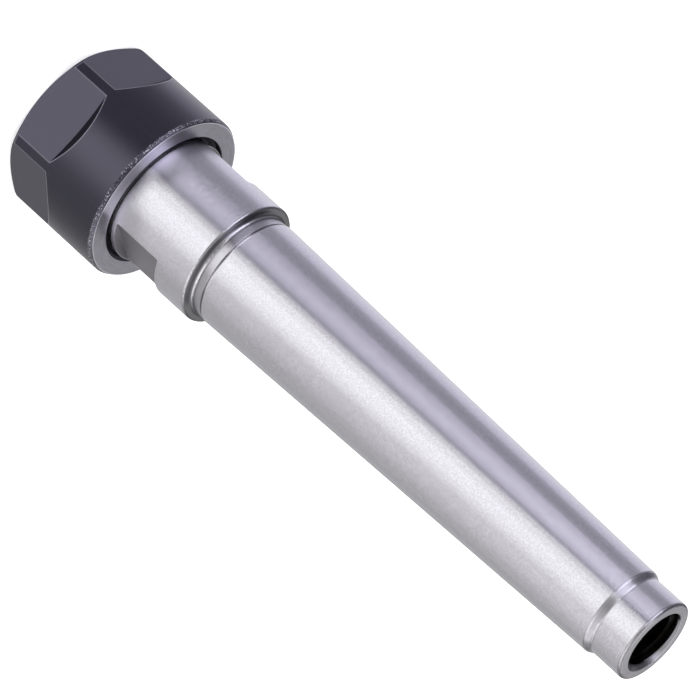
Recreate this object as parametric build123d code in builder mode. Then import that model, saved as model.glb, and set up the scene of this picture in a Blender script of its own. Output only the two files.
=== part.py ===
from build123d import *
from math import cos, radians, sin, tan
import os

os.makedirs("parts", exist_ok=True)

# A collet chuck holder standing on its nut. Millimetres, +Z up the shank,
# origin at the centre of the nut's front face, +X square to a wrench flat.

# Spring collet, the 16 mm size with 8 degree sides
collet_length = 27.5
collet_radius = 8.5  # largest radius, at the rim and at the wide end of the long cone
collet_tail_wall = 0.515  # around the bore at the tail, for a tool of 10 mm
collet_recess = 0.3  # its face lies this far behind the nut's front face
collet_face_radius = 6.9
front_cone_angle = 30.0
seat_angle = 8.0
rim_width = 0.5
groove_radius = 7.1
cone_start = 6.26  # from the collet's face to the wide end of its long cone
cone_land = 0.45  # short round land between the groove and the long cone
slot_count = 8  # from each end
slot_width = 0.9
slot_root = 4.6  # metal left between a slot's end and the far end of the collet
collet_chamfer = 0.3

# Clearances between pieces that meet
cone_clearance = 0.02  # collet in its seat and in the nut, square to the cone
rim_clearance = 0.2
lip_side_clearance = 0.35  # the nut's lip in the collet's groove, along the axis
nut_back_clearance = 0.15  # between the nut's back face and the chuck body

# Thread that holds the nut: 22 mm by 1.5, right-hand
thread_radius = 11.0
thread_pitch = 1.5
thread_depth_per_pitch = 0.6134
thread_root_clearance = 0.02
thread_nose_chamfer = 0.4
relief_radius = 9.7
relief_length = 1.43
relief_cone = 0.6  # length of the slope from the thread down to the relief

# Chuck body
nose_seat_radius = 8.0  # mouth of the seat at the nose
body_radius = 10.3
body_length = 15.6
shoulder_round = 0.35
neck_radius = 8.87
neck_length = 1.9
neck_fillet = 0.5
taper_lead = 0.5  # short cone from the neck up to the taper
taper_radius = 9.0
taper_rate = 0.04995  # on the diameter, a number 2 self-holding taper
taper_length = 75.85
taper_end_length = 0.85  # sloping step from the taper down to the tail
tail_radius = 6.62
tail_length = 5.67
step_round = 0.6
rim_round = 0.45

# Wrench flats on the chuck body
flat_distance = 8.75  # from the axis to each flat
flat_inset = 0.7  # from the front edge of the chuck body
flat_length = 8.7
flat_corner = 0.15

# Bores of the chuck body
clearance_radius = 5.25
drawbar_thread_radius = 5.0  # for a drawbar of 10 mm by 1.5
drawbar_thread_length = 25.0
drawbar_runout = 0.6
mouth_radius = 5.1

# Clamping nut
nut_length = 19.6
nut_radius = 14.0
nut_across = 25.0
nut_turned = -10.9  # turn of the six flats about the axis
front_chamfer_depth = 1.7
front_chamfer_length = 1.0
front_round = 0.8
back_chamfer_depth = 0.36
back_chamfer_length = 0.6
nut_mouth_chamfer = 0.15
hex_cutter_radius = 50.0  # the milled flats end in an arc of this radius
hex_cutter_slope = 49.0  # slope of the arc's wall, from the axis
hex_length = 8.55
lip_width = 1.5
lip_radius = 8.75
lip_offset = 0.9
cavity_radius = 9.8
cavity_end = 8.6

# How near an edge lies to the place where it is looked for
pick_reach = 0.01

# Places worked out from the sizes above
cone_slope = tan(radians(seat_angle))
front_slope = tan(radians(front_cone_angle))
collet_face = collet_recess
collet_end = collet_face + collet_length
rim_start = collet_face + (collet_radius - collet_face_radius) / front_slope
rim_end = rim_start + rim_width
long_cone = collet_face + cone_start
land_start = long_cone - cone_land
collet_tail_radius = collet_radius - (collet_end - long_cone) * cone_slope
collet_bore = collet_tail_radius - collet_tail_wall
slot_length = collet_length - slot_root
slot_reach = collet_radius + slot_width
nose = long_cone + (collet_radius - nose_seat_radius) / cone_slope

seat_gap = cone_clearance / cos(radians(seat_angle))
seat_end = nose + (nose_seat_radius + seat_gap - clearance_radius) / cone_slope
body_start = nut_length + nut_back_clearance
thread_core = thread_radius - thread_pitch * thread_depth_per_pitch
relief_end = body_start - (body_radius - relief_radius)
thread_end = relief_end - relief_length - relief_cone
flat_middle = body_start + flat_inset + flat_length / 2
shoulder_z = body_start + body_length
neck_end = shoulder_z + neck_length
taper_start = neck_end + taper_lead
taper_end = taper_start + taper_length
taper_end_radius = taper_radius - taper_length * taper_rate / 2
tail_start = taper_end + taper_end_length
total_length = tail_start + tail_length
drawbar_thread_start = total_length - drawbar_thread_length
mouth_depth = mouth_radius - drawbar_thread_radius

nut_gap = cone_clearance / cos(radians(front_cone_angle))
nut_hole_radius = collet_face_radius + nut_gap - collet_face * front_slope
nut_rim_radius = collet_radius + rim_clearance
nut_cone_end = collet_face + (nut_rim_radius - nut_gap - collet_face_radius) / front_slope
lip_start = rim_end + lip_side_clearance
lip_end = lip_start + lip_width
nut_thread_radius = thread_radius + thread_root_clearance
cavity_slope_end = cavity_end + (nut_thread_radius - cavity_radius)

# Chuck body: shank, shoulder, thread and seat, turned from one bar
with BuildPart() as chuck_body:
    with BuildSketch(Plane.XZ) as body_section:
        with BuildLine():
            Polyline(
                (nose_seat_radius + seat_gap, nose),
                (thread_core - thread_nose_chamfer, nose),
                (thread_core, nose + thread_nose_chamfer),
                (thread_core, thread_end),
                (relief_radius, thread_end + relief_cone),
                (relief_radius, relief_end),
                (body_radius, body_start),
                (body_radius, shoulder_z),
                (neck_radius, shoulder_z),
                (neck_radius, neck_end),
                (taper_radius, taper_start),
                (taper_end_radius, taper_end),
                (tail_radius, tail_start),
                (tail_radius, total_length),
                (mouth_radius, total_length),
                (drawbar_thread_radius, total_length - mouth_depth),
                (drawbar_thread_radius, drawbar_thread_start),
                (clearance_radius, drawbar_thread_start - drawbar_runout),
                (clearance_radius, seat_end),
                close=True,
            )
        make_face()
    revolve(axis=Axis.Z)

    rims = chuck_body.edges().filter_by(GeomType.CIRCLE)
    shoulder_rim = rims.filter_by(
        lambda e: abs(e.radius - body_radius) < pick_reach
        and abs(e.arc_center.Z - shoulder_z) < pick_reach
    )
    fillet(shoulder_rim, shoulder_round)
    neck_corner = rims.filter_by(
        lambda e: abs(e.radius - neck_radius) < pick_reach
        and abs(e.arc_center.Z - shoulder_z) < pick_reach
    )
    fillet(neck_corner, neck_fillet)
    step_rims = rims.filter_by(
        lambda e: e.radius > tail_radius - pick_reach
        and taper_end - pick_reach < e.arc_center.Z < tail_start + pick_reach
    )
    fillet(step_rims, step_round)
    tail_rim = rims.filter_by(
        lambda e: e.radius > mouth_radius + pick_reach
        and abs(e.arc_center.Z - total_length) < pick_reach
    )
    fillet(tail_rim, rim_round)

    # Two flats for a wrench, milled straight across
    flat_planes = [Plane.YZ.offset(flat_distance), Plane.YZ.rotated((0, 0, 180)).offset(flat_distance)]
    for flat_plane in flat_planes:
        with BuildSketch(flat_plane):
            with Locations((0, flat_middle)):
                Rectangle(2 * body_radius, flat_length)
        extrude(amount=body_radius, mode=Mode.SUBTRACT)
    flat_corners = chuck_body.edges().filter_by(Axis.Y).filter_by(
        lambda e: abs(abs(e.center().X) - flat_distance) < pick_reach
    )
    fillet(flat_corners, flat_corner)

chuck_body.part.label = "chuck_body"
export_step(chuck_body.part, "parts/chuck_body.step")

# Clamping nut: turned, bored eccentric for the lip, then milled with six flats
with BuildPart() as clamping_nut:
    with BuildSketch(Plane.XZ):
        with BuildLine():
            Polyline(
                (nut_hole_radius, 0),
                (nut_radius - front_chamfer_depth, 0),
                (nut_radius, front_chamfer_length),
                (nut_radius, nut_length - back_chamfer_length),
                (nut_radius - back_chamfer_depth, nut_length),
                (nut_thread_radius + nut_mouth_chamfer, nut_length),
                (nut_thread_radius, nut_length - nut_mouth_chamfer),
                (nut_thread_radius, cavity_slope_end),
                (cavity_radius, cavity_end),
                (cavity_radius, lip_end),
                (nut_hole_radius, lip_end),
                close=True,
            )
        make_face()
    revolve(axis=Axis.Z)
    front_rim = clamping_nut.edges().filter_by(GeomType.CIRCLE).filter_by(
        lambda e: abs(e.arc_center.Z - front_chamfer_length) < pick_reach
    )
    fillet(front_rim, front_round)

    # The cone that presses on the collet, and the room for its rim
    with BuildSketch(Plane.XZ):
        with BuildLine():
            Polyline(
                (0, 0),
                (nut_hole_radius, 0),
                (nut_rim_radius, nut_cone_end),
                (nut_rim_radius, lip_start),
                (0, lip_start),
                close=True,
            )
        make_face()
    revolve(axis=Axis.Z, mode=Mode.SUBTRACT)

    # The lip is bored off centre, so that the collet snaps behind one side of it
    with BuildSketch(Plane.XY.offset(lip_start)):
        with Locations((lip_offset, 0)):
            Circle(lip_radius)
    extrude(amount=lip_width, mode=Mode.SUBTRACT)

    # Six flats, each the end of a sloping cutter's path
    cutter_slope = tan(radians(hex_cutter_slope))
    cutter_height = nut_radius
    hex_planes = [
        Plane(
            origin=(
                nut_across / 2 * cos(radians(nut_turned + 60 * k)),
                nut_across / 2 * sin(radians(nut_turned + 60 * k)),
                hex_length - hex_cutter_radius,
            ),
            x_dir=(0, 0, 1),
            z_dir=(cos(radians(nut_turned + 60 * k)), sin(radians(nut_turned + 60 * k)), 0),
        )
        for k in range(6)
    ]
    with Locations(*hex_planes):
        Cone(
            hex_cutter_radius,
            hex_cutter_radius + cutter_height * cutter_slope,
            cutter_height,
            align=(Align.CENTER, Align.CENTER, Align.MIN),
            mode=Mode.SUBTRACT,
        )

clamping_nut.part.label = "clamping_nut"
export_step(clamping_nut.part, "parts/clamping_nut.step")

# Spring collet: turned, then slotted in turn from its two ends
with BuildPart() as spring_collet:
    with BuildSketch(Plane.XZ):
        with BuildLine():
            Polyline(
                (collet_bore + collet_chamfer, collet_face),
                (collet_face_radius, collet_face),
                (collet_radius, rim_start),
                (collet_radius, rim_end),
                (groove_radius, rim_end),
                (groove_radius, land_start),
                (collet_radius, land_start),
                (collet_radius, long_cone),
                (collet_tail_radius, collet_end),
                (collet_bore + collet_chamfer / 2, collet_end),
                (collet_bore, collet_end - collet_chamfer / 2),
                (collet_bore, collet_face + collet_chamfer),
                close=True,
            )
        make_face()
    revolve(axis=Axis.Z)
    with BuildSketch(Plane.XY.offset(collet_face)):
        with PolarLocations(slot_reach / 2, slot_count):
            Rectangle(slot_reach, slot_width)
    extrude(amount=slot_length, mode=Mode.SUBTRACT)
    with BuildSketch(Plane.XY.offset(collet_end - slot_length)):
        with PolarLocations(slot_reach / 2, slot_count, start_angle=180 / slot_count):
            Rectangle(slot_reach, slot_width)
    extrude(amount=slot_length, mode=Mode.SUBTRACT)

spring_collet.part.label = "spring_collet"
export_step(spring_collet.part, "parts/spring_collet.step")
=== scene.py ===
from math import cos, degrees, hypot, pi, radians, sin, tan

import bmesh
import bpy
from mathutils import Matrix, Vector


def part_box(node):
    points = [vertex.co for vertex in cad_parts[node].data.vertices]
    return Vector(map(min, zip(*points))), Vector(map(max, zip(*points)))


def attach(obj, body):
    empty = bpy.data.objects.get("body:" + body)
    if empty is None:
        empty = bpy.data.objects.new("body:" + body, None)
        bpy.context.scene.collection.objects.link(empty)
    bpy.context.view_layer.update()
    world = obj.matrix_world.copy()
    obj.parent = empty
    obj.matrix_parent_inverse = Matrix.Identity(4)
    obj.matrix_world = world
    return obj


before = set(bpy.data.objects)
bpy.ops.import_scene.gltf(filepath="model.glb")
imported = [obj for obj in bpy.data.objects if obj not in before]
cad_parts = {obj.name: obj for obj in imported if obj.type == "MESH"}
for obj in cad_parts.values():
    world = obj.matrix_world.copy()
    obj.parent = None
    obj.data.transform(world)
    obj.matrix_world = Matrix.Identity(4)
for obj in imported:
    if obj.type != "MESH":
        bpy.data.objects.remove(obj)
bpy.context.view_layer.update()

# A collet chuck holder standing on its clamping nut: ground steel shank, blackened nut.
# Metres. The origin is at the centre of the nut's front face and +Z runs up the shank.

MM = 0.001

# Sizes read from the frame
_, NUT_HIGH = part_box("clamping_nut")
BODY_LOW, BODY_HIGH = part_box("chuck_body")
NUT_BACK = NUT_HIGH.z
NUT_RADIUS = NUT_HIGH.x
NOSE = BODY_LOW.z
SHANK_END = BODY_HIGH.z

# Thread between nut and chuck body, 22 mm by 1.5, and drawbar thread, 10 mm by 1.5
THREAD_PITCH = 1.5 * MM
FLANK_ANGLE = radians(30)
CREST_WIDTH = 0.1875 * MM
ROOT_SINK = 0.04 * MM  # how far each ridge's foot lies in the wall that carries it
BODY_THREAD_ROOT = 10.08 * MM
BODY_THREAD_CREST = 10.93 * MM
BODY_THREAD_START = NOSE + 0.5 * MM
BODY_THREAD_END = 17.1 * MM
BODY_THREAD_RUNOUT = 0.4 * MM
BODY_LEAD_START = NOSE + 0.05 * MM
BODY_RUNOUT_SLOPE = 1.5  # how steeply the ridge sinks into the wall at its end
NUT_THREAD_ROOT = 11.02 * MM
NUT_THREAD_CREST = 10.19 * MM
NUT_THREAD_START = BODY_THREAD_START + THREAD_PITCH / 2  # its crests lie in the body's roots
NUT_MOUTH_RADIUS = 10.95 * MM
DRAWBAR_THREAD_ROOT = 5.0 * MM
DRAWBAR_THREAD_CREST = 4.19 * MM
DRAWBAR_THREAD_START = 95.4 * MM
SHANK_MOUTH_RADIUS = 5.05 * MM
END_SINK = 0.02 * MM  # how far a ridge stays below the end face that it reaches
STEPS_PER_TURN = 96
DRAWBAR_STEPS_PER_TURN = 72
RIDGE_CUTS = 2
MERGE_DISTANCE = 0.0005 * MM
SHARP_ANGLE = radians(25)

# Six flats of the nut: their place, and the arc in which each one ends
FLAT_COUNT = 6
FLAT_TURN = radians(-10.9)
FLAT_DISTANCE = 12.5 * MM
FLAT_LENGTH = 8.55 * MM
CUTTER_RADIUS = 50.0 * MM
CUTTER_SLOPE = tan(radians(49))
# Lighter flats' edges: wrench rubbing together with a painted highlight for light on their fine bevels
RUBBED_AND_HIGHLIGHT_WIDTH = 0.15 * MM
RUBBED_AND_HIGHLIGHT_GAIN = 1.5
RUBBED_AND_HIGHLIGHT_ALONG_FLAT = 0.35  # how rubbed the straight edges are, next to 1 for the arcs
FLAT_TOLERANCE = 0.02 * MM
UNCUT_TOLERANCE = 0.01 * MM
CUT_TOLERANCE = 0.05 * MM

# Back of the nut: the bright face, the painted highlight on its rim, its chamfer and the chips along it
BRIGHT_HEIGHTS = (NUT_BACK - 0.02 * MM, NUT_BACK - 0.01 * MM)  # where the bright face begins
BRIGHT_RADII = (11.05 * MM, 11.12 * MM)
BACK_CHAMFER_FROM = NUT_BACK - 0.6 * MM
BACK_FACE_RADIUS = NUT_RADIUS - 0.36 * MM
# The back face's lighter rim is a painted highlight along its outer edge
FACE_RIM_HIGHLIGHT_RADII = (BACK_FACE_RADIUS - 0.16 * MM, BACK_FACE_RADIUS - 0.08 * MM)  # its lighter rim
CHIPPED_FROM = BACK_CHAMFER_FROM - 0.1 * MM
CHIPPED_TO = BACK_CHAMFER_FROM + 0.4 * MM
CHIPPED_BLUR = 0.12 * MM
CHIPPED_SPECKLE = (0.56, 0.62)  # black below the first level of the speckle, bare above the second

# Wrench flats of the chuck body
MILLED_FROM = 20.35 * MM
MILLED_TO = 29.25 * MM
MILLED_OUT = 8.6 * MM  # they lie beyond this distance along X
MILLED_RADIUS = 10.25 * MM  # and nearer to the axis than the round wall does

# Finely turned stretches of the shank, between the ground ones, and the tapped hole
SHOULDER_FROM = 34.98 * MM
SHOULDER_TO = 37.75 * MM
SHOULDER_FACE_FROM = 35.1 * MM
SHOULDER_FACE_TO = 35.5 * MM
SHOULDER_FACE_RADIUS = 10.2 * MM
NECK_FROM = 36.15 * MM
TAPER_EDGE_FROM = 37.3 * MM
TAPER_EDGE_TO = 37.62 * MM
STEP_FROM = 113.35 * MM
STEP_TO = 114.75 * MM
STEP_ROUNDS = (113.55 * MM, 114.42 * MM)  # the middles of its two roundings
STEP_ROUND_HALF = 0.1 * MM
RIM_FROM = SHANK_END - 0.55 * MM
RIM_TO = SHANK_END - 0.06 * MM
# Painted shade in the tapped hole begins at HOLE_RADIUS and HOLE_MOUTH and is full at HOLE_DARK_RADIUS
# and HOLE_DARK
HOLE_RADIUS = 5.2 * MM
HOLE_DARK_RADIUS = 5.12 * MM
HOLE_MOUTH = SHANK_END - 0.3 * MM
HOLE_DARK = SHANK_END - 0.7 * MM

# How far the border between two finishes is blurred
THIN_BLUR = 0.03 * MM
FINE_BLUR = 0.04 * MM
BLUR = 0.05 * MM
SOFT_BLUR = 0.06 * MM
WIDE_BLUR = 0.1 * MM

# Painted shade on the turned stretches: how dark each one is painted, from 0 for the first turned colour
# to 1 for the second
TURNED_PAINTED_SHADE = 0.1
SHOULDER_FACE_PAINTED_SHADE = 0.9
SHOULDER_ROUNDS_PAINTED_SHADE = 0.4
STEP_PAINTED_SHADE = 0.25
STEP_ROUNDS_PAINTED_SHADE = 0.62
RIM_PAINTED_SHADE = 0.5

# Finishes. A pair runs from its first to its second value with the lines and speckle of the
# surface, except the turned colours, which run from the steel to painted shade with the painted shades
# above.
GROUND_COLOURS = ((0.575, 0.562, 0.604), (0.71, 0.694, 0.746))
# The turned steel's colour, then the dark painted shade that is mixed in on the turned stretches
TURNED_COLOUR_AND_PAINTED_SHADE = ((0.58, 0.567, 0.609), (0.20, 0.196, 0.208))
# Milled flats: darker than the ground steel, partly for their duller finish and partly as painted shade
MILLED_COLOURS_WITH_SHADE = ((0.28, 0.265, 0.290), (0.40, 0.379, 0.412))
# Painted shade inside the tapped hole
HOLE_PAINTED_SHADE_COLOUR = (0.012, 0.011, 0.010)
OXIDE_COLOURS = ((0.003, 0.003, 0.006), (0.008, 0.008, 0.014))
FLAT_COLOUR = (0.015, 0.0145, 0.022)
# Rubbed metal and painted highlight on the nut's edges and thread crests
RUBBED_AND_HIGHLIGHT_COLOUR = (0.22, 0.212, 0.24)
CHIPPED_COLOUR = (0.45, 0.44, 0.47)
NUT_FACE_COLOURS = ((0.33, 0.324, 0.345), (0.58, 0.57, 0.605))
# Painted highlight on the rim of the nut's back face
NUT_FACE_RIM_HIGHLIGHT_COLOUR = (0.85, 0.84, 0.88)
COLLET_COLOURS = ((0.40, 0.39, 0.385), (0.58, 0.57, 0.565))
GROUND_ROUGHNESS = (0.21, 0.27)
TURNED_ROUGHNESS = 0.20
SOFT_ROUGHNESS = 0.24  # of the neck, the step and the rim
MILLED_ROUGHNESS = 0.4
OXIDE_ROUGHNESS = (0.28, 0.36)
COLLET_ROUGHNESS = (0.26, 0.36)
OXIDE_IOR = 1.79
OXIDE_TINT = (0.82, 0.79, 1.0)
GROUND_SPARKLE = (0.3, 0.7)  # the speckle is sharpened between these two levels
GROUND_SPECKLE_SHARE = 0.7  # of the grain; the rest is fine lines
OXIDE_SPECKLE_SHARE = 0.4
GRAIN_DEPTH = 0.002 * MM
COLLET_GRAIN_DEPTH = 0.001 * MM
GROUND_BRUSHING = 1.0
COLLET_BRUSHING = 0.9
QUARTER_TURN = 0.25
NOISE_DETAIL = 3.0
NOISE_ROUGHNESS = 0.6
LINES_ON_FACES = 0.6  # lines on an end face, as a share of those on a wall
SMALLEST_RADIUS = 0.1 * MM

# Camera, solved from the circles and edges of the photographed part
VIEW_AZIMUTH = radians(15.5)
VIEW_ELEVATION = radians(24.374)
VIEW_ROLL = radians(132.04)
VIEW_AIM = Vector((-0.003721, 0.006675, 0.053944))
VIEW_DISTANCE = 0.699539
LENS = 252.62
SENSOR = 36.0
CLIP_START = 0.01

# Light tent round the part. Each band has an angle round the vertical axis, in degrees from the
# camera's side, and the level of the light there: low panels, middle cloth above and below them,
# and upper cloth.
CAMERA_SIDE = radians(-74.5)
LOW_PANELS = (
    (-180, 0.70),
    (-165, 0.93),
    (-140, 0.99),
    (-120, 0.88),
    (-104, 0.46),
    (-88, 0.39),
    (-72, 0.26),
    (-56, 0.10),
    (-36, 0.06),
    (-24, 0.05),
    (-16, 0.52),
    (-8, 1.36),
    (8, 1.80),
    (24, 1.58),
    (34, 1.22),
    (42, 0.90),
    (50, 0.50),
    (60, 0.38),
    (80, 0.38),
    (104, 0.44),
    (128, 0.52),
    (150, 0.62),
    (165, 0.55),
    (180, 0.70),
)
MIDDLE_CLOTH = (
    (-180, 0.35),
    (-165, 0.08),
    (-145, 0.15),
    (-124, 0.10),
    (-104, 0.26),
    (-88, 0.47),
    (-78, 1.10),
    (-66, 3.20),
    (-56, 3.75),
    (-46, 3.70),
    (-38, 3.20),
    (-31, 2.50),
    (-26, 1.45),
    (-19, 2.90),
    (-10, 1.35),
    (0, 0.70),
    (12, 0.60),
    (24, 1.00),
    (36, 1.55),
    (48, 2.40),
    (60, 3.00),
    (80, 2.90),
    (104, 1.85),
    (128, 0.50),
    (152, 0.18),
    (180, 0.35),
)
UPPER_CLOTH = (
    (-180, 0.60),
    (-150, 0.36),
    (-126, 0.12),
    (-78, 0.12),
    (-66, 1.05),
    (-50, 1.30),
    (-34, 1.25),
    (-24, 0.90),
    (-8, 0.45),
    (12, 0.40),
    (30, 0.58),
    (60, 0.78),
    (112, 0.70),
    (150, 0.54),
    (180, 0.60),
)
GROUND_EDGE = -58.0  # elevations in degrees, as seen from the part
PANEL_FOOT = -44.0
PANEL_TOP = -4.0
CLOTH_TOP = 20.0
TENT_OPENING = 68.0
GROUND_LEVEL = 0.10
BAND_BLUR = 5.0
VIOLET_FROM = -150.0  # the cloth is slightly violet over this stretch
VIOLET_FROM_BLUR = 20.0
VIOLET_TO = -22.0
VIOLET_TO_BLUR = 2.0
VIOLET = (0.98, 0.962, 1.10)
WHITE = (1.0, 1.0, 1.0)
TENT_RADIUS = 2.5
TENT_HEIGHT = 0.055
TENT_COLUMNS = 64
TENT_ROWS = 32
LAMP_HEIGHT = 1.6
LAMP_SIZE = 1.2
LAMP_WATTS = 6.0
PAPER_COLOUR = (0.85, 0.85, 0.85)
FLOOR_RADIUS = 3.0
FLOOR_SEGMENTS = 96
FLOOR_LIFT = 0.68
FLOOR_GAP = 0.02 * MM  # keeps the paper out of the nut's face


def new_node(tree, kind, **settings):
    """Adds a node; settings are its own properties, such as operation or mode."""
    node = tree.nodes.new(kind)
    for name, value in settings.items():
        setattr(node, name, value)
    return node


def feed(tree, socket, value):
    """Gives a node's input a colour, a number or another node's output."""
    if isinstance(value, tuple):
        socket.default_value = (*value, 1.0)
    elif isinstance(value, (int, float)):
        socket.default_value = value
    else:
        tree.links.new(value, socket)


def math_node(tree, operation, *values, clamp=False):
    """Adds a math node; each value is an output or a number."""
    node = new_node(tree, "ShaderNodeMath", operation=operation, use_clamp=clamp)
    for socket, value in zip(node.inputs, values):
        feed(tree, socket, value)
    return node.outputs[0]


def product(tree, first, *others):
    """All the values multiplied."""
    for value in others:
        first = math_node(tree, "MULTIPLY", first, value)
    return first


def largest(tree, first, *others):
    """The largest of the values."""
    for value in others:
        first = math_node(tree, "MAXIMUM", first, value)
    return first


def smooth_step(tree, value, low, high):
    """0 below low, 1 above high, soft in between; low may be the larger."""
    node = new_node(tree, "ShaderNodeMapRange", interpolation_type="SMOOTHSTEP")
    tree.links.new(value, node.inputs["Value"])
    node.inputs["From Min"].default_value = low
    node.inputs["From Max"].default_value = high
    return node.outputs["Result"]


def between(tree, value, low, high, blur):
    """1 from low to high."""
    return product(
        tree,
        smooth_step(tree, value, low - blur, low + blur),
        smooth_step(tree, value, high + blur, high - blur),
    )


def spread(tree, value, low, high):
    """Maps 0..1 to low..high."""
    node = new_node(tree, "ShaderNodeMapRange")
    tree.links.new(value, node.inputs["Value"])
    node.inputs["To Min"].default_value = low
    node.inputs["To Max"].default_value = high
    return node.outputs["Result"]


def mix_value(tree, factor, first, second):
    """Mixes two values, each an output or a number."""
    node = new_node(tree, "ShaderNodeMix", data_type="FLOAT")
    tree.links.new(factor, node.inputs[0])
    feed(tree, node.inputs[2], first)
    feed(tree, node.inputs[3], second)
    return node.outputs[0]


def mix_colour(tree, factor, first, second):
    """Mixes two colours, each an output or a colour."""
    node = new_node(tree, "ShaderNodeMix", data_type="RGBA")
    tree.links.new(factor, node.inputs[0])
    feed(tree, node.inputs[6], first)
    feed(tree, node.inputs[7], second)
    return node.outputs[2]


def noise(tree, vector, scale):
    """Fine noise from 0 to 1."""
    node = new_node(tree, "ShaderNodeTexNoise")
    tree.links.new(vector, node.inputs["Vector"])
    feed(tree, node.inputs["Scale"], scale)
    node.inputs["Detail"].default_value = NOISE_DETAIL
    node.inputs["Roughness"].default_value = NOISE_ROUGHNESS
    return node.outputs["Fac"]


def new_group(name, inputs, outputs):
    """A shader node group with named number inputs and outputs."""
    tree = bpy.data.node_groups.new(name, "ShaderNodeTree")
    for label, value in inputs:
        socket = tree.interface.new_socket(label, in_out="INPUT", socket_type="NodeSocketFloat")
        socket.default_value = value
    for label in outputs:
        tree.interface.new_socket(label, in_out="OUTPUT", socket_type="NodeSocketFloat")
    return tree, new_node(tree, "NodeGroupInput"), new_node(tree, "NodeGroupOutput")


def place_group(tree, group, **values):
    """Puts a group in a material, with its own input values."""
    node = new_node(tree, "ShaderNodeGroup", node_tree=group)
    for label, value in values.items():
        node.inputs[label.replace("_", " ")].default_value = value
    return node


def object_place(tree):
    """The point of the surface in Object coordinates."""
    return new_node(tree, "ShaderNodeTexCoord").outputs["Object"]


def round_axis(tree):
    """Object coordinates as x, y, z and the distance from the Z axis."""
    parts = new_node(tree, "ShaderNodeSeparateXYZ")
    tree.links.new(object_place(tree), parts.inputs[0])
    x, y, z = parts.outputs
    y_square = product(tree, y, y)
    radius = math_node(tree, "SQRT", math_node(tree, "MULTIPLY_ADD", x, x, y_square))
    return x, y, z, radius


def turning_lines_group():
    """Fine lines that run round the axis, on walls, cones and end faces alike, and a fine speckle."""
    tree, given, result = new_group(
        "turning_lines",
        (("Lines per metre", 5000.0), ("Round stretch", 2.0), ("Speckle per metre", 4000.0)),
        ("Lines", "Speckle"),
    )
    x, y, z, radius = round_axis(tree)
    safe_radius = math_node(tree, "MAXIMUM", radius, SMALLEST_RADIUS)
    vector = new_node(tree, "ShaderNodeCombineXYZ")
    for side, socket in ((x, vector.inputs[0]), (y, vector.inputs[1])):
        share = math_node(tree, "DIVIDE", side, safe_radius)
        tree.links.new(product(tree, share, given.outputs["Round stretch"]), socket)
    along = math_node(tree, "MULTIPLY_ADD", radius, LINES_ON_FACES, z)
    tree.links.new(product(tree, along, given.outputs["Lines per metre"]), vector.inputs[2])
    tree.links.new(noise(tree, vector.outputs[0], 1.0), result.inputs["Lines"])
    speckle = noise(tree, object_place(tree), given.outputs["Speckle per metre"])
    tree.links.new(speckle, result.inputs["Speckle"])
    return tree


def closeness(tree, distance, width, share):
    """1 where distance is 0, falling to 0 at a share of width."""
    size = math_node(tree, "ABSOLUTE", distance)
    part = math_node(tree, "DIVIDE", size, product(tree, width, share))
    return math_node(tree, "SUBTRACT", 1.0, part, clamp=True)


def flat_edges_group():
    """Edge is 1 along the edges of the nut's six flats, and Flat is 1 on the flats themselves."""
    tree, given, result = new_group("flat_edges", (("Width", RUBBED_AND_HIGHLIGHT_WIDTH),), ("Edge", "Flat"))
    x, y, z, radius = round_axis(tree)
    angle = math_node(tree, "SUBTRACT", math_node(tree, "ARCTAN2", y, x), FLAT_TURN)
    sector = 2 * pi / FLAT_COUNT
    turned = math_node(tree, "DIVIDE", angle, sector)
    nearest = product(tree, math_node(tree, "ROUND", turned), sector)
    local = math_node(tree, "SUBTRACT", angle, nearest)
    out = product(tree, radius, math_node(tree, "COSINE", local))
    side = product(tree, radius, math_node(tree, "SINE", local))
    proud = math_node(tree, "SUBTRACT", out, FLAT_DISTANCE)
    up = math_node(tree, "SUBTRACT", z, FLAT_LENGTH - CUTTER_RADIUS)
    up_square = product(tree, up, up)
    reach = math_node(tree, "SQRT", math_node(tree, "MULTIPLY_ADD", side, side, up_square))
    wall = math_node(tree, "MULTIPLY_ADD", proud, CUTTER_SLOPE, CUTTER_RADIUS)
    outside_wall = math_node(tree, "SUBTRACT", reach, wall)
    width = given.outputs["Width"]
    at_rim = closeness(tree, math_node(tree, "SUBTRACT", NUT_RADIUS, radius), width, 0.5)
    at_flat = product(tree, closeness(tree, proud, width, 0.5), RUBBED_AND_HIGHLIGHT_ALONG_FLAT)
    at_wall = closeness(tree, outside_wall, width, 1.0)
    uncut = math_node(tree, "GREATER_THAN", proud, -UNCUT_TOLERANCE)
    in_cut = math_node(tree, "LESS_THAN", outside_wall, CUT_TOLERANCE)
    near = largest(tree, product(tree, at_flat, in_cut), product(tree, at_wall, uncut))
    tree.links.new(product(tree, at_rim, near), result.inputs["Edge"])
    on_flat = math_node(tree, "LESS_THAN", math_node(tree, "ABSOLUTE", proud), FLAT_TOLERANCE)
    tree.links.new(on_flat, result.inputs["Flat"])
    return tree


def bare_material(name):
    """A material with only its output; returns it, its tree and the output's surface."""
    material = bpy.data.materials.new(name)
    material.use_nodes = True
    tree = material.node_tree
    tree.nodes.clear()
    output = new_node(tree, "ShaderNodeOutputMaterial")
    return material, tree, output.inputs["Surface"]


def new_material(name):
    """A material with one Principled shader; returns it, its tree and its shader."""
    material, tree, surface = bare_material(name)
    shader = new_node(tree, "ShaderNodeBsdfPrincipled")
    tree.links.new(shader.outputs["BSDF"], surface)
    return material, tree, shader


def brushed_round(tree, shader, amount):
    """Lines round the axis spread the light along it, a quarter turn from the tangent."""
    tangent = new_node(tree, "ShaderNodeTangent", direction_type="RADIAL", axis="Z")
    tree.links.new(tangent.outputs["Tangent"], shader.inputs["Tangent"])
    shader.inputs["Anisotropic"].default_value = amount
    shader.inputs["Anisotropic Rotation"].default_value = QUARTER_TURN


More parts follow.
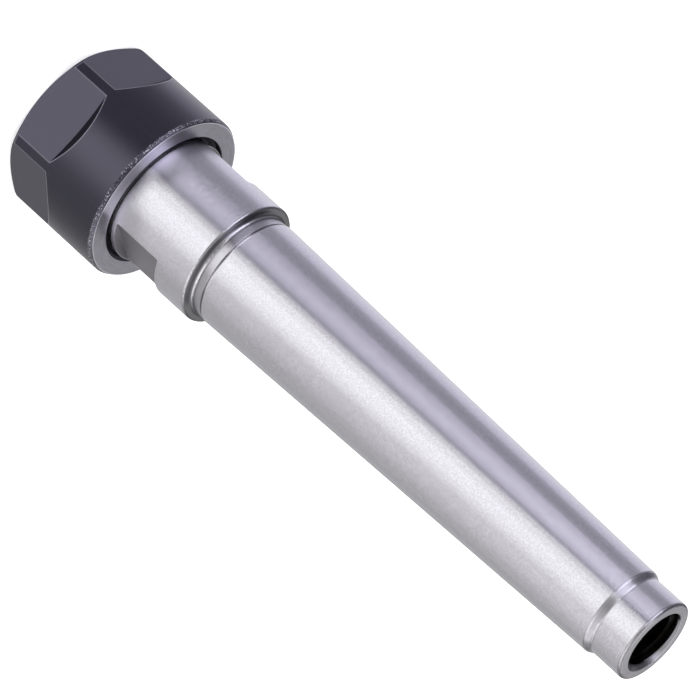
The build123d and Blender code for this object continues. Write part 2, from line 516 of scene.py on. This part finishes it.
def add_bump(tree, shader, height, distance):
    """Raises the surface by distance where height is 1."""
    bump = new_node(tree, "ShaderNodeBump")
    bump.inputs["Strength"].default_value = 1.0
    bump.inputs["Distance"].default_value = distance
    tree.links.new(height, bump.inputs["Height"])
    tree.links.new(bump.outputs["Normal"], shader.inputs["Normal"])


def wrench_flats(tree, x, z, radius):
    """1 on the two milled flats and their end walls."""
    aside = smooth_step(tree, math_node(tree, "ABSOLUTE", x), MILLED_OUT, MILLED_OUT + WIDE_BLUR)
    sunk = smooth_step(tree, radius, MILLED_RADIUS, MILLED_RADIUS - FINE_BLUR)
    along = between(tree, z, MILLED_FROM, MILLED_TO, THIN_BLUR)
    return product(tree, aside, sunk, along)


def turned_painted_shade(tree, z, radius):
    """Painted shade on each turned stretch: the shoulder's face and the taper's first edge are painted
    darkest.
    """
    face = product(
        tree,
        between(tree, z, SHOULDER_FACE_FROM, SHOULDER_FACE_TO, FINE_BLUR),
        smooth_step(tree, radius, SHOULDER_FACE_RADIUS, SHOULDER_FACE_RADIUS - SOFT_BLUR),
        SHOULDER_FACE_PAINTED_SHADE,
    )
    first_edge = between(tree, z, TAPER_EDGE_FROM, TAPER_EDGE_TO, SOFT_BLUR)
    at_rounds = between(tree, z, SHOULDER_FROM, NECK_FROM, FINE_BLUR)
    rounds = product(tree, at_rounds, SHOULDER_ROUNDS_PAINTED_SHADE)
    at_step = smooth_step(tree, z, STEP_FROM - WIDE_BLUR, STEP_FROM)
    at_rim = between(tree, z, RIM_FROM, RIM_TO, BLUR)
    tail = mix_value(tree, at_rim, spread(tree, at_step, TURNED_PAINTED_SHADE, STEP_PAINTED_SHADE), RIM_PAINTED_SHADE)
    for middle in STEP_ROUNDS:
        rounding = between(tree, z, middle - STEP_ROUND_HALF, middle + STEP_ROUND_HALF, SOFT_BLUR)
        tail = mix_value(tree, rounding, tail, STEP_ROUNDS_PAINTED_SHADE)
    return largest(tree, face, first_edge, rounds, tail)


def ground_steel(lines_group):
    """Ground steel: turned edges are smoother and painted with shade, milled flats duller and darker, the
    threaded hole painted dark with shade.
    """
    material, tree, shader = new_material("ground_steel")
    lines = place_group(
        tree,
        lines_group,
        Lines_per_metre=3500.0,
        Round_stretch=6.0,
        Speckle_per_metre=4000.0,
    )
    x, _, z, radius = round_axis(tree)
    shoulder = between(tree, z, SHOULDER_FROM, SHOULDER_TO, BLUR)
    neck = between(tree, z, NECK_FROM, TAPER_EDGE_FROM, BLUR)
    step = between(tree, z, STEP_FROM, STEP_TO, BLUR)
    rim = between(tree, z, RIM_FROM, RIM_TO, BLUR)
    milled = wrench_flats(tree, x, z, radius)
    # Painted shade darkens the tapped hole inward from its mouth
    hole_painted_shade = product(
        tree,
        smooth_step(tree, radius, HOLE_RADIUS, HOLE_DARK_RADIUS),
        smooth_step(tree, z, HOLE_MOUTH, HOLE_DARK),
    )
    sparkle = smooth_step(tree, lines.outputs["Speckle"], *GROUND_SPARKLE)
    fine_lines = product(tree, lines.outputs["Lines"], 1 - GROUND_SPECKLE_SHARE)
    grain = math_node(tree, "MULTIPLY_ADD", sparkle, GROUND_SPECKLE_SHARE, fine_lines)
    steel = mix_colour(tree, grain, *GROUND_COLOURS)
    # Painted shade on the turned stretches, between the steel and a dark copy of it
    turned = mix_colour(tree, turned_painted_shade(tree, z, radius), *TURNED_COLOUR_AND_PAINTED_SHADE)
    outside = mix_colour(tree, largest(tree, shoulder, step, rim), steel, turned)
    # The milled flats' darker colour is partly painted shade
    outside = mix_colour(tree, milled, outside, mix_colour(tree, grain, *MILLED_COLOURS_WITH_SHADE))
    tree.links.new(mix_colour(tree, hole_painted_shade, outside, HOLE_PAINTED_SHADE_COLOUR), shader.inputs["Base Color"])
    rough = spread(tree, lines.outputs["Lines"], *GROUND_ROUGHNESS)
    rough = mix_value(tree, shoulder, rough, TURNED_ROUGHNESS)
    rough = mix_value(tree, largest(tree, step, rim, neck), rough, SOFT_ROUGHNESS)
    tree.links.new(mix_value(tree, milled, rough, MILLED_ROUGHNESS), shader.inputs["Roughness"])
    shader.inputs["Metallic"].default_value = 1.0
    brushed_round(tree, shader, GROUND_BRUSHING)
    add_bump(tree, shader, lines.outputs["Speckle"], GRAIN_DEPTH)
    return material


def blackened_steel(lines_group, edges_group):
    """Black oxide on turned steel, lighter where wrenches rub and at painted highlights; the back face
    was turned bright.
    """
    material, tree, shader = new_material("blackened_steel")
    lines = place_group(
        tree,
        lines_group,
        Lines_per_metre=3500.0,
        Round_stretch=5.0,
        Speckle_per_metre=4600.0,
    )
    _, _, z, radius = round_axis(tree)
    turned_face = product(
        tree,
        smooth_step(tree, z, *BRIGHT_HEIGHTS),
        smooth_step(tree, radius, *BRIGHT_RADII),
    )
    flecks = product(
        tree,
        between(tree, z, CHIPPED_FROM, CHIPPED_TO, CHIPPED_BLUR),
        smooth_step(tree, radius, BACK_FACE_RADIUS - WIDE_BLUR, BACK_FACE_RADIUS),
        smooth_step(tree, lines.outputs["Speckle"], *CHIPPED_SPECKLE),
    )
    # The nut thread's first crests take the rubbed colour, partly as a painted highlight
    thread_crest = product(
        tree,
        smooth_step(tree, radius, NUT_THREAD_CREST + SOFT_BLUR, NUT_THREAD_CREST + THIN_BLUR),
        smooth_step(tree, z, NUT_THREAD_START, NUT_THREAD_START + WIDE_BLUR),
    )
    # The flats' edges: wrench rubbing and a painted highlight
    flats = place_group(tree, edges_group, Width=RUBBED_AND_HIGHLIGHT_WIDTH)
    edge = math_node(tree, "MULTIPLY", flats.outputs["Edge"], RUBBED_AND_HIGHLIGHT_GAIN, clamp=True)
    fine_lines = product(tree, lines.outputs["Lines"], 1 - OXIDE_SPECKLE_SHARE)
    grain = math_node(tree, "MULTIPLY_ADD", lines.outputs["Speckle"], OXIDE_SPECKLE_SHARE, fine_lines)
    oxide = mix_colour(tree, grain, *OXIDE_COLOURS)
    oxide = mix_colour(tree, flats.outputs["Flat"], oxide, FLAT_COLOUR)
    oxide = mix_colour(tree, largest(tree, edge, thread_crest), oxide, RUBBED_AND_HIGHLIGHT_COLOUR)
    oxide = mix_colour(tree, flecks, oxide, CHIPPED_COLOUR)
    # Painted highlight along the rim of the back face
    face_rim_highlight = smooth_step(tree, radius, *FACE_RIM_HIGHLIGHT_RADII)
    face = mix_colour(tree, lines.outputs["Lines"], *NUT_FACE_COLOURS)
    face = mix_colour(tree, face_rim_highlight, face, NUT_FACE_RIM_HIGHLIGHT_COLOUR)
    tree.links.new(mix_colour(tree, turned_face, oxide, face), shader.inputs["Base Color"])
    tree.links.new(turned_face, shader.inputs["Metallic"])
    tree.links.new(spread(tree, grain, *OXIDE_ROUGHNESS), shader.inputs["Roughness"])
    shader.inputs["IOR"].default_value = OXIDE_IOR
    feed(tree, shader.inputs["Specular Tint"], OXIDE_TINT)
    add_bump(tree, shader, lines.outputs["Lines"], GRAIN_DEPTH)
    return material


def collet_steel(lines_group):
    """Hardened and ground spring steel, a little darker than the shank."""
    material, tree, shader = new_material("collet_steel")
    lines = place_group(
        tree,
        lines_group,
        Lines_per_metre=8000.0,
        Round_stretch=4.0,
        Speckle_per_metre=4000.0,
    )
    colour = mix_colour(tree, lines.outputs["Lines"], *COLLET_COLOURS)
    rough = spread(tree, lines.outputs["Speckle"], *COLLET_ROUGHNESS)
    tree.links.new(colour, shader.inputs["Base Color"])
    tree.links.new(rough, shader.inputs["Roughness"])
    shader.inputs["Metallic"].default_value = 1.0
    brushed_round(tree, shader, COLLET_BRUSHING)
    add_bump(tree, shader, lines.outputs["Lines"], COLLET_GRAIN_DEPTH)
    return material


def floor_paper():
    """White paper, which keeps the part's shadow and reads as white when it is seen."""
    material, tree, surface = bare_material("floor_paper")
    paper = new_node(tree, "ShaderNodeBsdfDiffuse")
    feed(tree, paper.inputs["Color"], PAPER_COLOUR)
    white = new_node(tree, "ShaderNodeEmission")
    seen = new_node(tree, "ShaderNodeLightPath")
    shown = math_node(tree, "ADD", seen.outputs["Is Camera Ray"], seen.outputs["Is Glossy Ray"])
    shown = math_node(tree, "ADD", shown, seen.outputs["Is Transmission Ray"], clamp=True)
    tree.links.new(product(tree, shown, FLOOR_LIFT), white.inputs["Strength"])
    both = new_node(tree, "ShaderNodeAddShader")
    tree.links.new(paper.outputs[0], both.inputs[0])
    tree.links.new(white.outputs[0], both.inputs[1])
    tree.links.new(both.outputs[0], surface)
    return material


def light_bands(tree, degrees_round, bands):
    """The level of the light by the angle, smooth from one band to the next."""
    share = math_node(tree, "MULTIPLY_ADD", degrees_round, 1 / 360, 0.5)
    ramp = new_node(tree, "ShaderNodeValToRGB")
    ramp.color_ramp.interpolation = "EASE"
    stops = ramp.color_ramp.elements
    highest = max(level for _, level in bands)
    last = len(bands) - 1
    for number, (angle, level) in enumerate(bands):
        position = angle / 360 + 0.5
        if number == 0:
            stop = stops[0]
        elif number == last:
            stop = stops[-1]
        else:
            stop = stops.new(position)
        grey = level / highest
        stop.position = position
        stop.color = (grey, grey, grey, 1)
    tree.links.new(share, ramp.inputs["Fac"])
    return product(tree, ramp.outputs["Color"], highest)


def tent_cloth():
    """The tent's inside glows in bands, given by the direction from the part."""
    material, tree, surface = bare_material("tent_cloth")
    turned = new_node(tree, "ShaderNodeMapping", vector_type="POINT")
    turned.inputs["Location"].default_value = (0, 0, -TENT_HEIGHT)
    turned.inputs["Rotation"].default_value = (0, 0, -CAMERA_SIDE)
    tree.links.new(object_place(tree), turned.inputs["Vector"])
    direction = new_node(tree, "ShaderNodeVectorMath", operation="NORMALIZE")
    tree.links.new(turned.outputs[0], direction.inputs[0])
    parts = new_node(tree, "ShaderNodeSeparateXYZ")
    tree.links.new(direction.outputs[0], parts.inputs[0])
    angle_round = math_node(tree, "ARCTAN2", parts.outputs[1], parts.outputs[0])
    angle_up = math_node(tree, "ARCSINE", parts.outputs[2])
    degrees_round = product(tree, angle_round, degrees(1))
    degrees_up = product(tree, angle_up, degrees(1))
    level = light_bands(tree, degrees_round, UPPER_CLOTH)
    levels_below = ((CLOTH_TOP, MIDDLE_CLOTH), (PANEL_TOP, LOW_PANELS), (PANEL_FOOT, MIDDLE_CLOTH))
    for edge, bands in levels_below:
        below = smooth_step(tree, degrees_up, edge + BAND_BLUR, edge - BAND_BLUR)
        level = mix_value(tree, below, level, light_bands(tree, degrees_round, bands))
    ground = smooth_step(tree, degrees_up, GROUND_EDGE + BAND_BLUR, GROUND_EDGE - BAND_BLUR)
    level = mix_value(tree, ground, level, GROUND_LEVEL)
    violet = product(
        tree,
        smooth_step(tree, degrees_round, VIOLET_FROM - VIOLET_FROM_BLUR, VIOLET_FROM + VIOLET_FROM_BLUR),
        smooth_step(tree, degrees_round, VIOLET_TO + VIOLET_TO_BLUR, VIOLET_TO - VIOLET_TO_BLUR),
    )
    glow = new_node(tree, "ShaderNodeEmission")
    tree.links.new(mix_colour(tree, violet, WHITE, VIOLET), glow.inputs["Color"])
    tree.links.new(level, glow.inputs["Strength"])
    tree.links.new(glow.outputs[0], surface)
    return material


def add_object(name, shape, material):
    """Turns a bmesh into an object of the scene."""
    mesh = bpy.data.meshes.new(name)
    shape.to_mesh(mesh)
    shape.free()
    mesh.materials.append(material)
    new_object = bpy.data.objects.new(name, mesh)
    bpy.context.scene.collection.objects.link(new_object)
    return new_object


def add_piece(name, shape, material, body):
    """Turns a bmesh into a piece that rides on a body."""
    bmesh.ops.remove_doubles(shape, verts=shape.verts, dist=MERGE_DISTANCE)
    bmesh.ops.recalc_face_normals(shape, faces=shape.faces)
    piece = add_object(name, shape, material)
    piece.data.shade_smooth()
    piece.data.set_sharp_from_angle(angle=SHARP_ANGLE)
    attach(piece, body)


def thread_ridge(root, crest, start, end, steps_per_turn):
    """A right-hand helical ridge with 60 degree flanks, from start up to end."""
    outward = 1 if crest > root else -1
    height = abs(crest - root)
    foot_width = CREST_WIDTH + 2 * height * tan(FLANK_ANGLE)
    foot = root - outward * ROOT_SINK
    shape = bmesh.new()
    section = [
        shape.verts.new((foot, 0, start - foot_width / 2)),
        shape.verts.new((crest, 0, start - CREST_WIDTH / 2)),
        shape.verts.new((crest, 0, start + CREST_WIDTH / 2)),
        shape.verts.new((foot, 0, start + foot_width / 2)),
    ]
    first_face = shape.faces.new(section)
    bmesh.ops.subdivide_edges(shape, edges=first_face.edges[:], cuts=RIDGE_CUTS)
    turns = (end - start) / THREAD_PITCH
    steps = round(steps_per_turn * turns)
    bmesh.ops.spin(
        shape,
        geom=shape.verts[:] + shape.edges[:] + shape.faces[:],
        cent=(0, 0, 0),
        axis=(0, 0, 1),
        dvec=(0, 0, (end - start) / steps),
        angle=2 * pi * turns,
        steps=steps,
    )
    return shape


def set_radius(vert, radius, wanted):
    """Moves a point straight in or out."""
    if wanted != radius:
        vert.co.x *= wanted / radius
        vert.co.y *= wanted / radius


def body_thread(material):
    """The outer thread, which rises from the wall at its start and runs out at its end."""
    shape = thread_ridge(
        BODY_THREAD_ROOT,
        BODY_THREAD_CREST,
        BODY_THREAD_START,
        BODY_THREAD_END - BODY_THREAD_RUNOUT,
        STEPS_PER_TURN,
    )
    foot = BODY_THREAD_ROOT - ROOT_SINK
    for vert in shape.verts:
        radius = hypot(vert.co.x, vert.co.y)
        lead = min(vert.co.z - BODY_LEAD_START, (BODY_THREAD_END - vert.co.z) * BODY_RUNOUT_SLOPE)
        set_radius(vert, radius, min(radius, max(foot, foot + lead)))
    add_piece("body_thread", shape, material, "holder")


def widen_mouth(shape, foot, mouth_radius, end):
    """Cuts an inner thread back to the chamfer at its mouth, and ends it below the end face."""
    for vert in shape.verts:
        radius = hypot(vert.co.x, vert.co.y)
        smallest = min(foot, mouth_radius - (end - vert.co.z))
        set_radius(vert, radius, max(radius, smallest))
    for vert in shape.verts:
        vert.co.z = min(vert.co.z, end - END_SINK)


def nut_thread(material):
    """The inner thread of the nut, half a pitch from the body's."""
    shape = thread_ridge(NUT_THREAD_ROOT, NUT_THREAD_CREST, NUT_THREAD_START, NUT_BACK, STEPS_PER_TURN)
    widen_mouth(shape, NUT_THREAD_ROOT + ROOT_SINK, NUT_MOUTH_RADIUS, NUT_BACK)
    add_piece("nut_thread", shape, material, "nut")


def drawbar_thread(material):
    """The inner thread in the end of the shank."""
    shape = thread_ridge(
        DRAWBAR_THREAD_ROOT,
        DRAWBAR_THREAD_CREST,
        DRAWBAR_THREAD_START,
        SHANK_END,
        DRAWBAR_STEPS_PER_TURN,
    )
    widen_mouth(shape, DRAWBAR_THREAD_ROOT + ROOT_SINK, SHANK_MOUTH_RADIUS, SHANK_END)
    add_piece("drawbar_thread", shape, material, "holder")


def dress(node, material):
    """Gives a CAD node its finish."""
    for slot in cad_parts[node].material_slots:
        slot.material = material


def make_floor():
    """A sheet of white paper under the nut."""
    shape = bmesh.new()
    bmesh.ops.create_circle(shape, cap_ends=True, segments=FLOOR_SEGMENTS, radius=FLOOR_RADIUS)
    floor = add_object("floor", shape, floor_paper())
    floor.location.z = -FLOOR_GAP
    floor.visible_glossy = False  # the metal mirrors the low panels of the tent, as in the photograph


def make_tent():
    """A round light tent, open at the top, which lights the part but doesn't show to the camera."""
    shape = bmesh.new()
    bmesh.ops.create_uvsphere(
        shape,
        u_segments=TENT_COLUMNS,
        v_segments=TENT_ROWS,
        radius=TENT_RADIUS,
    )
    bmesh.ops.bisect_plane(
        shape,
        geom=shape.verts[:] + shape.edges[:] + shape.faces[:],
        plane_co=(0, 0, TENT_RADIUS * sin(radians(TENT_OPENING))),
        plane_no=(0, 0, 1),
        clear_outer=True,
    )
    bmesh.ops.reverse_faces(shape, faces=shape.faces)
    bmesh.ops.translate(shape, verts=shape.verts, vec=(0, 0, TENT_HEIGHT))
    tent = add_object("tent", shape, tent_cloth())
    tent.visible_camera = False


def make_world():
    """Plain white behind everything, for the camera and for what shows in the metal above the tent."""
    world = bpy.data.worlds.new("white")
    bpy.context.scene.world = world
    world.use_nodes = True
    background = world.node_tree.nodes["Background"]
    background.inputs["Color"].default_value = (1, 1, 1, 1)
    background.inputs["Strength"].default_value = 1.0


def make_lamp():
    """A soft round lamp above, for the floor and for colours that don't mirror."""
    data = bpy.data.lights.new("soft_lamp", "AREA")
    data.shape = "DISK"
    data.size = LAMP_SIZE
    data.energy = LAMP_WATTS
    lamp = bpy.data.objects.new("soft_lamp", data)
    bpy.context.scene.collection.objects.link(lamp)
    lamp.location = (0, 0, LAMP_HEIGHT)
    lamp.visible_camera = False
    lamp.visible_glossy = False


def make_camera():
    """Looks down on the part from VIEW_ELEVATION and lies turned by VIEW_ROLL, as in the photograph."""
    level = Vector((cos(VIEW_AZIMUTH), sin(VIEW_AZIMUTH), 0))
    back = Vector((
        sin(VIEW_AZIMUTH) * cos(VIEW_ELEVATION),
        -cos(VIEW_AZIMUTH) * cos(VIEW_ELEVATION),
        sin(VIEW_ELEVATION),
    ))
    upright = back.cross(level)
    right = cos(VIEW_ROLL) * level + sin(VIEW_ROLL) * upright
    up = back.cross(right)
    data = bpy.data.cameras.new("camera")
    data.lens = LENS
    data.sensor_width = SENSOR
    data.clip_start = CLIP_START
    camera = bpy.data.objects.new("camera", data)
    bpy.context.scene.collection.objects.link(camera)
    turn = Matrix((right, up, back)).transposed()
    camera.matrix_world = Matrix.Translation(VIEW_AIM + back * VIEW_DISTANCE) @ turn.to_4x4()
    bpy.context.scene.camera = camera


bpy.context.scene.view_settings.view_transform = "Standard"
make_camera()
make_world()
make_tent()
make_lamp()
make_floor()

lines_group = turning_lines_group()
edges_group = flat_edges_group()
steel = ground_steel(lines_group)
black = blackened_steel(lines_group, edges_group)
spring = collet_steel(lines_group)
dress("chuck_body", steel)
dress("clamping_nut", black)
dress("spring_collet", spring)
body_thread(steel)
nut_thread(black)
drawbar_thread(steel)
